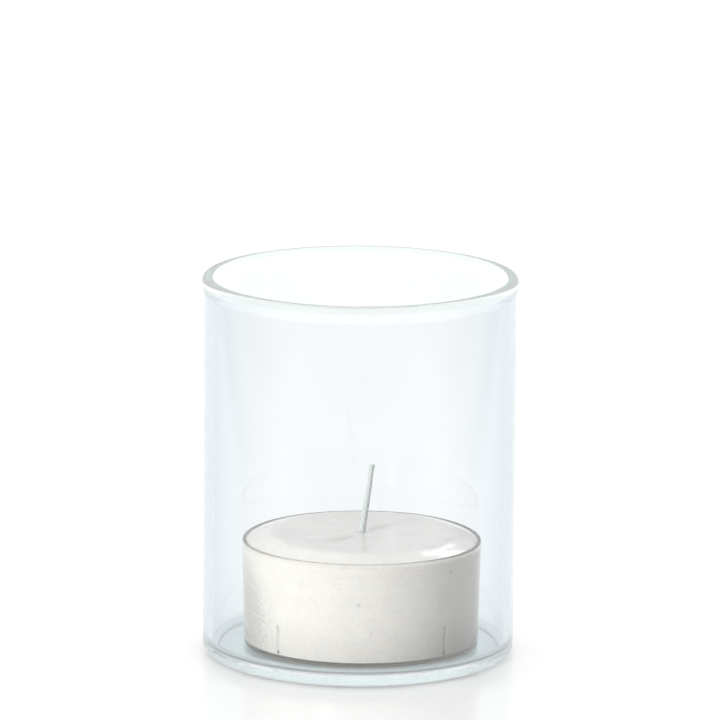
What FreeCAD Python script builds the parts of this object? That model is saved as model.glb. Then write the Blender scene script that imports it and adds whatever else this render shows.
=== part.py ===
"""Tealight holder: a straight-sided glass with a large clear-cup tealight standing in it.

Frame: millimetres, +Z up. The origin is the centre of the glass's foot, on the surface it stands on.
Pieces: the glass; the clear plastic cup; the wax poured into it; the wick; and the metal wick sustainer.
The last four make the tealight, which only rests on the glass's floor and lifts straight out.
"""

import FreeCAD, Part
import math
import os
import re
import Sketcher

SIZES = {
    # the glass
    "glass_diameter": (75.5, "outside of the straight wall"),
    "glass_height": (93.0, "foot to the top of the lip"),
    "glass_wall": (2.2, "thickness of the straight wall"),
    "glass_floor": (2.4, "thickness of the floor over the foot ring"),
    "lip_bulge": (0.5, "how far the melted lip stands out from the wall"),
    "lip_top_depth": (1.5, "height of the lip's full-width part"),
    "lip_blend_depth": (3.6, "depth at which the lip has run out into the wall"),
    "lip_round": (1.2, "radius of the lip's two top edges"),
    "lip_blend_round": (4.0, "radius where the lip runs out into the wall"),
    "heel_round": (2.6, "radius of the outer bottom edge"),
    "floor_round": (2.5, "radius between the floor and the inside of the wall"),
    "punt_radius": (31.0, "radius of the hollow under the floor"),
    "punt_depth": (0.7, "depth of that hollow at the centre"),
    # the clear plastic cup
    "cup_rim_diameter": (58.0, "outside, at the rim"),
    "cup_foot_diameter": (56.8, "outside, at the foot"),
    "cup_height": (26.0, "foot to rim"),
    "cup_wall": (1.1, "thickness of the side"),
    "cup_floor": (1.3, "foot to the top of the cup's floor"),
    "cup_foot_round": (0.9, "radius of the outer bottom edge"),
    "cup_rim_round": (0.4, "radius of the rim's two edges"),
    "recess_radius": (25.0, "radius of the shallow recess under the floor"),
    "recess_depth": (0.4, "depth of that recess"),
    "rib_count": (4.0, "stacking ribs inside the cup"),
    "rib_width": (0.8, "width of one rib"),
    "rib_depth": (0.45, "how far a rib stands in from the side"),
    "rib_height": (7.4, "height of a rib above the cup's floor"),
    "rib_root": (0.3, "how deep a rib's root is sunk in the side"),
    "rib_turn": (45.0, "angle from +X to the first rib"),
    "ring_radius": (10.4, "inside radius of the ring that centres the sustainer"),
    "ring_width": (1.0, "width of that ring"),
    "ring_height": (0.6, "height of that ring above the floor"),
    # the wax
    "wax_gap": (0.08, "shrinkage gap all round the set wax"),
    "wax_edge_drop": (0.5, "from the rim down to the wax's edge"),
    "wax_shoulder_width": (4.5, "width of the rounded shoulder"),
    "wax_shoulder_rise": (1.6, "height of the shoulder"),
    "wax_crown": (0.4, "further rise from the shoulder to the middle"),
    "wax_shoulder_round": (6.0, "radius of the top of the shoulder"),
    # the wick and its sustainer
    "wick_diameter": (1.4, "waxed wick"),
    "wick_lift": (0.15, "the wick's cut end above the cup's floor"),
    "wick_hole_gap": (0.05, "clearance round the wick"),
    "wick_lean": (9.0, "angle of the free wick from upright"),
    "wick_bend_round": (8.0, "radius of the wick's two gentle bends"),
    "wick_straight": (12.9, "length of the leaning run"),
    "wick_tip": (1.4, "length of the upright tip"),
    "wick_end_round": (0.25, "radius of the wick's cut ends"),
    "sustainer_diameter": (20.0, "the metal disc"),
    "sustainer_sheet": (0.3, "thickness of the metal"),
    "neck_height": (5.0, "the neck above the disc"),
    "neck_round": (0.5, "radius where the neck leaves the disc"),
    "crimp_height": (1.2, "height of one crimped flat"),
    "crimp_bite": (0.12, "depth of one crimped flat"),
    # how the tealight stands in the glass
    "seat_gap": (0.05, "between the glass's floor and the cup's foot"),
    "tealight_shift": (0.75, "the tealight stands this far towards +X of the glass's axis"),
}
PLANES = {"XZ": "XZ_Plane", "XY": "XY_Plane"}
FULL_TURN = 360
START, END, CENTRE = 1, 2, 3  # a sketch's names for the points of a line or arc
ORIGIN = (-1, 1)
H_AXIS, V_AXIS = -1, -2
CLOSE = 1e-3  # two sizes nearer than this are the same edge

doc = FreeCAD.newDocument("tealight_holder")


def make_sheet():
    """The spreadsheet that drives every size: a plain number, its alias and what it is, on each row."""
    sheet = doc.addObject("Spreadsheet::Sheet", "Sizes")
    for row, (alias, (value, meaning)) in enumerate(SIZES.items(), start=1):
        sheet.set(f"A{row}", alias)
        sheet.set(f"B{row}", str(value))
        sheet.setAlias(f"B{row}", alias)
        sheet.set(f"C{row}", meaning)
    doc.recompute()
    return sheet


def bound(expression):
    """An expression in the sheet's aliases, written so that another object can use it."""
    return re.sub(r"\b([a-z]+(?:_[a-z]+)+)\b", r"Sizes.\1", expression)


def number(expression):
    """The present value of an expression in the sheet's aliases."""
    value = doc.Sizes.evalExpression(expression)
    return float(getattr(value, "Value", value))


def plane_of(body, name):
    """One of the body's own origin planes."""
    return next(f for f in body.Origin.OriginFeatures if f.Role == PLANES[name])


def new_body(label):
    body = doc.addObject("PartDesign::Body", label)
    body.Label = label
    return body


def new_sketch(body, name, plane, height=None, turn=None):
    """A sketch on an origin plane, moved along its normal by height and turned about it by turn."""
    sketch = body.newObject("Sketcher::SketchObject", name)
    sketch.AttachmentSupport = [(plane_of(body, plane), "")]
    sketch.MapMode = "FlatFace"
    if height is not None:
        sketch.setExpression("AttachmentOffset.Base.z", bound(height))
    if turn is not None:
        sketch.AttachmentOffset.Rotation.Axis = FreeCAD.Vector(0, 0, 1)
        sketch.setExpression("AttachmentOffset.Rotation.Angle", bound(turn))
    return sketch


def pin_point(sketch, curve, point, name, across, up):
    """Holds one point of a curve at (across, up) from the sketch's origin. "0" puts it on that axis."""
    for kind, axis, word, place in (
        ("DistanceX", V_AXIS, "across", across),
        ("DistanceY", H_AXIS, "up", up),
    ):
        if place == "0":
            sketch.addConstraint(Sketcher.Constraint("PointOnObject", curve, point, axis))
            continue
        held = Sketcher.Constraint(kind, *ORIGIN, curve, point, number(place))
        index = sketch.addConstraint(held)
        sketch.renameConstraint(index, f"{name}_{word}")
        sketch.setExpression(f"Constraints.{name}_{word}", bound(place))


def outline(sketch, corners):
    """A closed outline of straight lines. corners: name -> (across, up), each an expression."""
    points = [FreeCAD.Vector(number(a), number(u), 0) for a, u in corners.values()]
    count = len(points)
    for i in range(count):
        sketch.addGeometry(Part.LineSegment(points[i], points[(i + 1) % count]))
    for i in range(count):
        following = (i + 1) % count
        sketch.addConstraint(Sketcher.Constraint("Coincident", i, END, following, START))
    for i, (name, (across, up)) in enumerate(corners.items()):
        pin_point(sketch, i, START, name, across, up)


def turned(body, name, corners, cut=False):
    """A Revolution or, as a cut, a Groove of an outline about the body's Z axis."""
    sketch = new_sketch(body, name + "_profile", "XZ")
    outline(sketch, corners)
    return turn_about_z(body, name, sketch, cut)


def turn_about_z(body, name, sketch, cut=False):
    kind = "PartDesign::Groove" if cut else "PartDesign::Revolution"
    feature = body.newObject(kind, name)
    feature.Profile = sketch
    feature.ReferenceAxis = (sketch, ["V_Axis"])
    feature.Angle = FULL_TURN
    doc.recompute()
    return feature


def rings(feature, places):
    """Names of the feature's round edges at these (radius, height) places, each an expression."""
    found = []
    for radius, height in places:
        r, z = number(radius), number(height)
        names = [
            f"Edge{i}"
            for i, edge in enumerate(feature.Shape.Edges, start=1)
            if isinstance(edge.Curve, Part.Circle)
            and abs(edge.Curve.Radius - r) < CLOSE
            and abs(edge.Curve.Center.z - z) < CLOSE
        ]
        if not names:
            raise RuntimeError(f"{feature.Name} has no round edge at {radius}, {height}")
        found += names
    return found


def rounded(body, name, radius, base, edge_names):
    """A Fillet of the named edges of base."""
    fillet = body.newObject("PartDesign::Fillet", name)
    fillet.Base = (base, edge_names)
    fillet.setExpression("Radius", bound(radius))
    doc.recompute()
    return fillet


def block(body, name, near, far, width, height, length, cut=False, turn=None):
    """A Pad or Pocket of a rectangle from near to far along X, centred on Y, rising by length."""
    sketch = new_sketch(body, name + "_outline", "XY", height, turn)
    half = f"({width}) / 2"
    outline(
        sketch,
        {
            "near_right": (near, f"-{half}"),
            "far_right": (far, f"-{half}"),
            "far_left": (far, half),
            "near_left": (near, half),
        },
    )
    feature = body.newObject("PartDesign::Pocket" if cut else "PartDesign::Pad", name)
    feature.Profile = sketch
    feature.setExpression("Length", bound(length))
    feature.Reversed = cut
    doc.recompute()
    return feature


def repeated(body, name, feature, sketch, count):
    """A PolarPattern of a feature about the sketch's normal through the body's axis."""
    pattern = body.newObject("PartDesign::PolarPattern", name)
    pattern.Originals = [feature]
    pattern.Axis = (sketch, ["N_Axis"])
    pattern.Angle = FULL_TURN
    pattern.setExpression("Occurrences", bound(count))
    body.Tip = pattern
    doc.recompute()
    return pattern


def must_change(feature, before, less):
    """Stops the build if a cut took nothing away, or an addition added nothing."""
    change = feature.Shape.Volume - before
    if (change >= 0) if less else (change <= 0):
        raise RuntimeError(f"{feature.Name} changed the volume by {change:.3f} mm3")


def make_glass_cup():
    """The glass: straight wall, melted lip, flat floor, rounded heel and a shallow hollow beneath."""
    body = new_body("glass_cup")
    outer = "glass_diameter / 2"
    inner = "glass_diameter / 2 - glass_wall"
    lip = "glass_diameter / 2 + lip_bulge"
    lip_foot = "glass_height - lip_blend_depth"
    lip_full = "glass_height - lip_top_depth"
    wall = turned(
        body,
        "wall_and_floor",
        {
            "foot_centre": ("0", "0"),
            "foot_edge": (outer, "0"),
            "wall_top": (outer, lip_foot),
            "lip_side": (lip, lip_full),
            "lip_outer": (lip, "glass_height"),
            "lip_inner": (inner, "glass_height"),
            "floor_edge": (inner, "glass_floor"),
            "floor_centre": ("0", "glass_floor"),
        },
    )
    heel = rounded(body, "heel", "heel_round", wall, rings(wall, [(outer, "0")]))
    places = [(inner, "glass_floor")]
    corner = rounded(body, "floor_corner", "floor_round", heel, rings(heel, places))
    places = [(outer, lip_foot), (lip, lip_full)]
    blend = rounded(body, "lip_blend", "lip_blend_round", corner, rings(corner, places))
    places = [(lip, "glass_height"), (inner, "glass_height")]
    lip_edge = rounded(body, "lip", "lip_round", blend, rings(blend, places))

    sketch = new_sketch(body, "punt_profile", "XZ")
    half_chord, rise = number("punt_radius"), number("punt_depth")
    dome_radius = (half_chord**2 + rise**2) / (2 * rise)
    centre, edge = FreeCAD.Vector(0, rise - dome_radius, 0), FreeCAD.Vector(half_chord, 0, 0)
    circle = Part.Circle(centre, FreeCAD.Vector(0, 0, 1), dome_radius)
    crown = FreeCAD.Vector(0, rise, 0)
    arc = Part.ArcOfCircle(circle, circle.parameter(edge), circle.parameter(crown))
    sketch.addGeometry(arc)
    sketch.addGeometry(Part.LineSegment(crown, FreeCAD.Vector(0, 0, 0)))
    sketch.addGeometry(Part.LineSegment(FreeCAD.Vector(0, 0, 0), edge))
    for this in range(3):
        following = (this + 1) % 3
        sketch.addConstraint(Sketcher.Constraint("Coincident", this, END, following, START))
    sketch.addConstraint(Sketcher.Constraint("PointOnObject", 0, CENTRE, V_AXIS))
    pin_point(sketch, 0, START, "punt_edge", "punt_radius", "0")
    pin_point(sketch, 1, START, "punt_crown", "0", "punt_depth")
    pin_point(sketch, 2, START, "punt_middle", "0", "0")
    before = lip_edge.Shape.Volume
    must_change(turn_about_z(body, "punt", sketch, cut=True), before, less=True)
    return body


def cup_radius(height):
    """Outside radius of the plastic cup at a height, from its foot and rim sizes."""
    slope = "(cup_rim_diameter - cup_foot_diameter) / 2 / cup_height"
    return f"cup_foot_diameter / 2 + ({height}) * {slope}"


def make_tealight_cup():
    """The clear cup: drafted side, recessed foot, centring ring and four stacking ribs."""
    body = new_body("tealight_cup")
    foot, rim = "cup_foot_diameter / 2", "cup_rim_diameter / 2"
    inner_rim = "cup_rim_diameter / 2 - cup_wall"
    inner_foot = cup_radius("cup_floor") + " - cup_wall"
    ring_top = "cup_floor + ring_height"
    side = turned(
        body,
        "side_and_floor",
        {
            "recess_centre": ("0", "recess_depth"),
            "recess_corner": ("recess_radius", "recess_depth"),
            "foot_inner": ("recess_radius + recess_depth", "0"),
            "foot_outer": (foot, "0"),
            "rim_outer": (rim, "cup_height"),
            "rim_inner": (inner_rim, "cup_height"),
            "floor_edge": (inner_foot, "cup_floor"),
            "ring_outer_foot": ("ring_radius + ring_width", "cup_floor"),
            "ring_outer_top": ("ring_radius + ring_width", ring_top),
            "ring_inner_top": ("ring_radius", ring_top),
            "ring_inner_foot": ("ring_radius", "cup_floor"),
            "floor_centre": ("0", "cup_floor"),
        },
    )
    heel = rounded(body, "heel", "cup_foot_round", side, rings(side, [(foot, "0")]))
    places = [(rim, "cup_height"), (inner_rim, "cup_height")]
    rim_edge = rounded(body, "rim", "cup_rim_round", heel, rings(heel, places))

    before = rim_edge.Shape.Volume
    wall_face = cup_radius("cup_floor") + " - cup_wall"
    rib = block(
        body,
        "rib",
        wall_face + " - rib_depth",
        wall_face + " + rib_root",
        "rib_width",
        "cup_floor - rib_root",
        "rib_height + rib_root",
        turn="rib_turn",
    )
    ribs = repeated(body, "ribs", rib, rib.Profile[0], "rib_count")
    must_change(ribs, before, less=False)
    return body


def make_wax_fill():
    """The wax: a drafted puck with a low crown and rounded shoulder, open for what it surrounds."""
    body = new_body("wax_fill")
    edge_height = "cup_height - wax_edge_drop"
    inside = " - cup_wall - wax_gap"
    bottom = "cup_floor + wax_gap"
    side_foot = cup_radius(bottom) + inside
    side_top = cup_radius(edge_height) + inside
    shoulder = (f"{side_top} - wax_shoulder_width", f"{edge_height} + wax_shoulder_rise")
    crown = f"{edge_height} + wax_shoulder_rise + wax_crown"
    hole = "wick_diameter / 2 + wick_hole_gap"
    neck_room = "wick_diameter / 2 + wick_hole_gap + sustainer_sheet + wax_gap"
    neck_top = "cup_floor + sustainer_sheet + neck_height + wax_gap"
    seat_top = "cup_floor + ring_height + wax_gap"
    seat = "ring_radius + ring_width + wax_gap"
    puck = turned(
        body,
        "puck",
        {
            "hole_foot": (hole, neck_top),
            "neck_top_corner": (neck_room, neck_top),
            "neck_foot_corner": (neck_room, seat_top),
            "seat_top_corner": (seat, seat_top),
            "seat_foot_corner": (seat, bottom),
            "side_foot": (side_foot, bottom),
            "side_top": (side_top, edge_height),
            "shoulder_top": shoulder,
            "crown": (hole, crown),
        },
    )
    smooth = rounded(body, "shoulder", "wax_shoulder_round", puck, rings(puck, [shoulder]))

    before = smooth.Shape.Volume
    wall_face = cup_radius("cup_floor") + " - cup_wall"
    notch = block(
        body,
        "notch",
        wall_face + " - rib_depth - wax_gap",
        wall_face + " + rib_root",
        "rib_width + 2 * wax_gap",
        "cup_floor",
        "rib_height + wax_gap",
        cut=True,
        turn="rib_turn",
    )
    notches = repeated(body, "notches", notch, notch.Profile[0], "rib_count")
    must_change(notches, before, less=True)
    return body


def make_wick():
    """The wick: upright in the wax, then leaning towards +X, with its tip upright again."""
    body = new_body("wick")
    start = "cup_floor + wick_lift"
    surface = "cup_height - wax_edge_drop + wax_shoulder_rise + wax_crown"
    profile = new_sketch(body, "wick_section", "XY", start)
    middle = FreeCAD.Vector(0, 0, 0)
    radius = number("wick_diameter / 2")
    profile.addGeometry(Part.Circle(middle, FreeCAD.Vector(0, 0, 1), radius))
    profile.addConstraint(Sketcher.Constraint("Coincident", 0, CENTRE, *ORIGIN))
    held = profile.addConstraint(Sketcher.Constraint("Diameter", 0, 2 * radius))
    profile.renameConstraint(held, "thickness")
    profile.setExpression("Constraints.thickness", bound("wick_diameter"))

    path = new_sketch(body, "wick_path", "XZ")
    wick_route(path, start, surface)
    pipe = body.newObject("PartDesign::AdditivePipe", "braid")
    pipe.Profile = profile
    pipe.Spine = (path, [f"Edge{i}" for i in range(1, 6)])
    doc.recompute()
    tip = max(range(len(pipe.Shape.Faces)), key=lambda i: pipe.Shape.Faces[i].CenterOfMass.z)
    foot = min(range(len(pipe.Shape.Faces)), key=lambda i: pipe.Shape.Faces[i].CenterOfMass.z)
    ends = [f"Face{i + 1}" for i in (foot, tip)]
    rounded(body, "cut_ends", "wick_end_round", pipe, ends)
    return body


def wick_route(path, start, surface):
    """Upright line, bend, leaning line, bend back and upright tip, each tangent to the next."""
    lean = math.radians(number("wick_lean"))
    bend, straight, tip = (number(n) for n in ("wick_bend_round", "wick_straight", "wick_tip"))
    up, normal = FreeCAD.Vector(0, 1, 0), FreeCAD.Vector(0, 0, 1)
    aside = FreeCAD.Vector(bend, 0, 0)
    leaning = FreeCAD.Vector(math.sin(lean), math.cos(lean), 0)
    leaning_aside = FreeCAD.Vector(math.cos(lean), -math.sin(lean), 0) * bend

    foot, bend_foot = up * number(start), up * number(surface)
    lean_foot = bend_foot + aside - leaning_aside
    lean_top = lean_foot + leaning * straight
    tip_foot = lean_top - leaning_aside + aside
    first = Part.Circle(bend_foot + aside, normal, bend)
    second = Part.Circle(lean_top - leaning_aside, normal, bend)
    path.addGeometry(Part.LineSegment(foot, bend_foot))
    path.addGeometry(Part.ArcOfCircle(first, math.pi - lean, math.pi))
    path.addGeometry(Part.LineSegment(lean_foot, lean_top))
    path.addGeometry(Part.ArcOfCircle(second, -lean, 0))
    path.addGeometry(Part.LineSegment(tip_foot, tip_foot + up * tip))
    for joined in ((0, END, 1, END), (1, START, 2, START), (2, END, 3, START), (3, END, 4, START)):
        path.addConstraint(Sketcher.Constraint("Tangent", *joined))
    path.addConstraint(Sketcher.Constraint("Vertical", 4))
    pin_point(path, 0, START, "wick_foot", "0", start)
    pin_point(path, 0, END, "wax_surface", "0", surface)
    for name, size, constraint in (
        ("first_bend", "wick_bend_round", Sketcher.Constraint("Radius", 1, bend)),
        ("second_bend", "wick_bend_round", Sketcher.Constraint("Radius", 3, bend)),
        ("leaning_run", "wick_straight", Sketcher.Constraint("Distance", 2, straight)),
        ("tip_run", "wick_tip", Sketcher.Constraint("Distance", 4, tip)),
        ("lean", "180 - wick_lean", Sketcher.Constraint("Angle", 0, END, 2, START, math.pi - lean)),
    ):
        path.renameConstraint(path.addConstraint(constraint), name)
        path.setExpression(f"Constraints.{name}", bound(size))


def make_wick_sustainer():
    """The sustainer: a thin pressed disc with a crimped neck that grips the wick."""
    body = new_body("wick_sustainer")
    bore = "wick_diameter / 2 + wick_hole_gap"
    neck = "wick_diameter / 2 + wick_hole_gap + sustainer_sheet"
    disc_top = "cup_floor + sustainer_sheet"
    neck_top = "cup_floor + sustainer_sheet + neck_height"
    disc = turned(
        body,
        "disc_and_neck",
        {
            "bore_foot": (bore, "cup_floor"),
            "disc_edge": ("sustainer_diameter / 2", "cup_floor"),
            "disc_edge_top": ("sustainer_diameter / 2", disc_top),
            "neck_foot": (neck, disc_top),
            "neck_top": (neck, neck_top),
            "bore_top": (bore, neck_top),
        },
    )
    soft = rounded(body, "neck_foot", "neck_round", disc, rings(disc, [(neck, disc_top)]))
    before = soft.Shape.Volume
    crimp = block(
        body,
        "crimp",
        neck + " - crimp_bite",
        neck + " + sustainer_sheet",
        "wick_diameter + sustainer_sheet",
        "cup_floor + sustainer_sheet + (neck_height - crimp_height) / 2",
        "crimp_height",
        cut=True,
        turn="rib_turn",
    )
    crimps = repeated(body, "crimps", crimp, crimp.Profile[0], "rib_count")
    must_change(crimps, before, less=True)
    return body


def stand_in_glass(body):
    """Stands one of the tealight's pieces on the glass's floor."""
    body.setExpression("Placement.Base.x", bound("tealight_shift"))
    body.setExpression("Placement.Base.z", bound("glass_floor + seat_gap"))


def check_document(bodies):
    """Stops the build if anything failed, or a piece isn't one valid closed solid."""
    for item in doc.Objects:
        if "Invalid" in item.State or "Error" in item.State:
            raise RuntimeError(f"{item.Name} failed: {item.State}")
    for body in bodies:
        shape = body.Shape
        if shape.isNull() or not shape.isValid() or len(shape.Solids) != 1:
            raise RuntimeError(f"{body.Label} isn't one valid solid")


def main():
    make_sheet()
    glass = make_glass_cup()
    tealight = [make_tealight_cup(), make_wax_fill(), make_wick(), make_wick_sustainer()]
    for body in tealight:
        stand_in_glass(body)
    doc.recompute()
    bodies = [glass, *tealight]
    check_document(bodies)
    os.makedirs("parts", exist_ok=True)
    for body in bodies:
        body.Shape.exportStep(f"parts/{body.Label}.step")
        box = body.Shape.BoundBox
        print(
            f"{body.Label}: {box.XLength:.2f} x {box.YLength:.2f} x {box.ZLength:.2f} mm, "
            f"{body.Shape.Volume:.1f} mm3"
        )


main()
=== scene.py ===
"""Tealight holder: the looks of a plain glass with a large clear-cup tealight standing in it.

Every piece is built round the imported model, in metres, in its frame: +Z up, the origin at the centre of
the glass's foot, -Y the front. Laid out as an add-on, and run as a script.
"""

import math

import bmesh
import bpy
from bpy.props import (
    FloatProperty,
    FloatVectorProperty,
    IntProperty,
    PointerProperty,
)
from mathutils import Matrix, Vector, geometry, noise


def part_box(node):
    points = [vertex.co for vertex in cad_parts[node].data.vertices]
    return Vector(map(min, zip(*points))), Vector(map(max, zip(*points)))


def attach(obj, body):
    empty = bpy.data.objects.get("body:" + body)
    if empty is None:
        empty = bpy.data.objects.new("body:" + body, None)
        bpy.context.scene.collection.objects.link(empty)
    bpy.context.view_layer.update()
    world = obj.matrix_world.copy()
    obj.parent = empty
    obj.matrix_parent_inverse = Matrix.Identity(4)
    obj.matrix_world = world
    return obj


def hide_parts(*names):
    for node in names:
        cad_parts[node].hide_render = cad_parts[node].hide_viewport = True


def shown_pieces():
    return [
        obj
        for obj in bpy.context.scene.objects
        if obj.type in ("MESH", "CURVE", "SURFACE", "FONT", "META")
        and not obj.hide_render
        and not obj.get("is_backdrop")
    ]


bl_info = {
    "name": "Tealight holder",
    "version": (1, 0, 0),
    "blender": (4, 5, 0),
    "location": "View3D > Sidebar > Tealight",
    "description": "Builds a glass tealight holder, its large tealight and a plain studio",
    "category": "Object",
}

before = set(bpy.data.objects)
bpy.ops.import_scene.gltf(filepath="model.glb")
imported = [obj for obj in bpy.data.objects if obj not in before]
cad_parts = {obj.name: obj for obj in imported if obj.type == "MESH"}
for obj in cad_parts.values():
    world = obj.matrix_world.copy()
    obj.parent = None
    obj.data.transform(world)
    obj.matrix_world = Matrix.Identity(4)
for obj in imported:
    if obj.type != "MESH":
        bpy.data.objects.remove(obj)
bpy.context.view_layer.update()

MM = 0.001
FULL_TURN = 2 * math.pi
GLASS_LOW, GLASS_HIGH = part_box("glass_cup")
CUP_LOW, CUP_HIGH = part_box("tealight_cup")
WAX_LOW, WAX_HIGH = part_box("wax_fill")
WICK_LOW, WICK_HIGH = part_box("wick")
DISC_LOW, DISC_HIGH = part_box("wick_sustainer")
TEALIGHT_X = (CUP_LOW.x + CUP_HIGH.x) / 2


# ---------------------------------------------------------------- the sizes and colours a user would change


def length(name, description, default):
    """A length setting. Its default is given in millimetres."""
    return FloatProperty(
        name=name, description=description, default=default * MM, unit="LENGTH", precision=4
    )


def colour(name, description, default):
    """A colour setting, red, green and blue from 0 to 1."""
    return FloatVectorProperty(
        name=name, description=description, default=default, subtype="COLOR", min=0, max=1
    )


class HolderSettings(bpy.types.PropertyGroup):
    wall: length("Wall", "Thickness of the straight wall", 2.2)
    floor: length("Floor", "Height of the floor's top above the foot", 2.4)
    bulge: length("Lip bulge", "How far the melted lip stands out from the wall", 0.5)
    blend: length("Lip run-out", "Depth at which the lip has run out into the wall", 4.1)
    heel: length("Heel", "Radius of the outer bottom edge", 2.6)
    corner: length("Corner", "Radius between the floor and the wall", 2.5)
    punt: length("Punt", "Depth of the hollow under the floor", 0.7)
    punt_radius: length("Punt radius", "Radius of the hollow under the floor", 31.0)
    ripple: length("Ripple", "Height of the tool rings left in the floor", 0.011)
    ripple_pitch: length("Ripple pitch", "Distance between the tool rings", 1.9)
    waviness: length("Waviness", "How far the drawn wall wanders from a true cylinder", 0.06)
    tint: colour("Tint", "Colour of the glass, seen square on", (0.958, 0.975, 0.984))
    edge_tint: colour("Edge tint", "Colour of the glass, seen along its wall", (0.50, 0.59, 0.66))
    foot_tint: colour("Foot tint", "Colour of the glass in its thick foot", (0.78, 0.89, 0.905))
    neck_tint: colour("Neck tint", "Colour of the glass just under its lip", (0.93, 0.985, 0.96))
    lip_tint: colour("Lip tint", "Colour looking down into the wall from its lip", (0.27, 0.53, 0.37))
    steps: IntProperty(name="Steps", description="Faces round the glass", default=224, min=24)


class TealightSettings(bpy.types.PropertyGroup):
    cup_wall: length("Cup wall", "Thickness of the cup's side", 1.1)
    cup_floor: length("Cup floor", "Height of the cup's floor above its foot", 1.3)
    draft: length("Draft", "How much narrower the foot's radius is than the rim's", 0.6)
    recess: length("Recess", "Radius of the shallow recess under the cup", 25.0)
    ring: length("Ring", "Inside radius of the ring that centres the sustainer", 10.4)
    ribs: IntProperty(name="Ribs", description="Stacking ribs inside the cup", default=4, min=0)
    rib_width: length("Rib width", "Width of one rib", 0.8)
    rib_depth: length("Rib depth", "How far a rib stands in", 0.25)
    rib_height: length("Rib height", "Height of a rib above the cup's floor", 7.4)
    gap: length("Wax gap", "Gap between the set wax and what it was poured round", 0.08)
    wet: length("Wetting", "How far the wax's side is bedded in the cup it wets", 0.01)
    edge_drop: length("Edge drop", "From the cup's rim down to the wax's edge", 0.9)
    shoulder: length("Shoulder", "Width of the wax's rounded shoulder", 5.6)
    swirl: length("Swirl", "Depth of the swirl left round the wick as the wax set", 0.5)
    wick: length("Wick", "Thickness of the wick in the wax", 1.4)
    sheet: length("Sheet", "Thickness of the sustainer's metal", 0.3)
    wax_colour: colour("Wax", "Colour of the wax", (0.81, 0.79, 0.754))
    cup_tint: colour("Cup tint", "Colour of the clear plastic, seen square on", (0.985, 0.98, 0.965))
    cup_edge: colour("Cup edge", "Colour of the clear plastic, seen along", (0.84, 0.82, 0.79))
    # At the rim this colour is the plastic seen along its wall; at the foot it is a painted contact shadow.
    cup_ends_and_foot_shadow: colour("Cup ends", "Colour looking into the cup's wall at its rim and foot", (0.24, 0.22, 0.2))
    wick_colour: colour("Wick colour", "Colour of the waxed cotton", (0.63, 0.68, 0.66))


class StudioSettings(bpy.types.PropertyGroup):
    lens: FloatProperty(name="Lens", description="Focal length on a 36 mm sensor", default=400)
    distance: length("Distance", "Camera to the glass's axis, level", 1889.7)
    height: length("Height", "Camera above the floor", 478.4)
    tilt: FloatProperty(
        name="Tilt", description="Camera below level", default=math.radians(12.13), subtype="ANGLE"
    )
    roll: FloatProperty(
        name="Roll", description="Camera's roll", default=math.radians(0.43), subtype="ANGLE"
    )
    front: FloatProperty(name="Front", description="Brightness of the room in front", default=0.44)
    back: FloatProperty(name="Back", description="Brightness of the room behind", default=1.0)


# ---------------------------------------------------------------- outlines, turned shapes and finishing


def run(start, end, step):
    """Points from start up to end, leaving end out: one close to each end, and none a step apart."""
    span = end - start
    close = min(0.12 * MM, span.length / 4)
    count = max(1, math.ceil((span.length - 2 * close) / step))
    if span.length < 3 * close or span.length < step:
        return [start.copy()]
    inner = [start + span.normalized() * close]
    stretch = span.normalized() * (span.length - 2 * close) / count
    return [start.copy(), *(inner[0] + stretch * i for i in range(count + 1))]


def rounded_outline(corners, fineness=math.radians(7)):
    """An outline in the XZ plane. corners: (across, up, radius of its rounding, step along what follows)."""
    places = [Vector((across, 0, up)) for across, up, *_ in corners]
    outline, last_end = [], None
    for i, (across, up, radius, step) in enumerate(corners):
        here = places[i]
        if 0 < i < len(corners) - 1 and radius > 0:
            back = (places[i - 1] - here).normalized()
            ahead = (places[i + 1] - here).normalized()
            turn = math.pi - back.angle(ahead)
            reach = radius * math.tan(turn / 2)
            centre = here + (back + ahead).normalized() * (radius / math.cos(turn / 2))
            first, last = here + back * reach - centre, here + ahead * reach - centre
            count = max(3, math.ceil(turn / fineness))
            axis = first.cross(last)
            arc = [centre + Matrix.Rotation(turn * n / count, 3, axis) @ first for n in range(count + 1)]
        else:
            arc = [here]
        if last_end is not None:
            outline += run(last_end, arc[0], corners[i - 1][3])
        outline += arc[:-1]
        last_end = arc[-1]
    return [*outline, last_end]


def turned(outline, steps, closed=False):
    """A bmesh of the outline spun about Z. closed joins its last point to its first."""
    bm = bmesh.new()
    verts = [bm.verts.new(point) for point in outline]
    edges = [bm.edges.new(pair) for pair in zip(verts, verts[1:])]
    if closed:
        edges.append(bm.edges.new((verts[-1], verts[0])))
    bmesh.ops.spin(
        bm, geom=verts + edges, axis=(0, 0, 1), cent=(0, 0, 0), angle=FULL_TURN, steps=steps,
        use_merge=True,
    )
    bmesh.ops.remove_doubles(bm, verts=bm.verts, dist=0.002 * MM)
    bmesh.ops.recalc_face_normals(bm, faces=bm.faces)
    return bm


def polar(point):
    """A point's distance from the Z axis, and its angle about it."""
    return math.hypot(point.x, point.y), math.atan2(point.y, point.x)


def smooth_step(value, low, high):
    """0 at low and below, 1 at high and above, with no corner at either."""
    t = min(max((value - low) / (high - low), 0.0), 1.0)
    return t * t * (3 - 2 * t)


def finished(bm, name, material, body, slot, *nodes, shift=(0, 0, 0)):
    """Makes the bmesh a smooth piece that rides on a body and stands for the given CAD nodes."""
    bmesh.ops.translate(bm, verts=bm.verts, vec=shift)
    mesh = bpy.data.meshes.new(name)
    bm.to_mesh(mesh)
    bm.free()
    mesh.shade_smooth()
    mesh.materials.append(material)
    piece = bpy.data.objects.new(name, mesh)
    bpy.context.scene.collection.objects.link(piece)
    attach(piece, body)
    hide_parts(*nodes)
    return piece


# ---------------------------------------------------------------- materials


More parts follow.
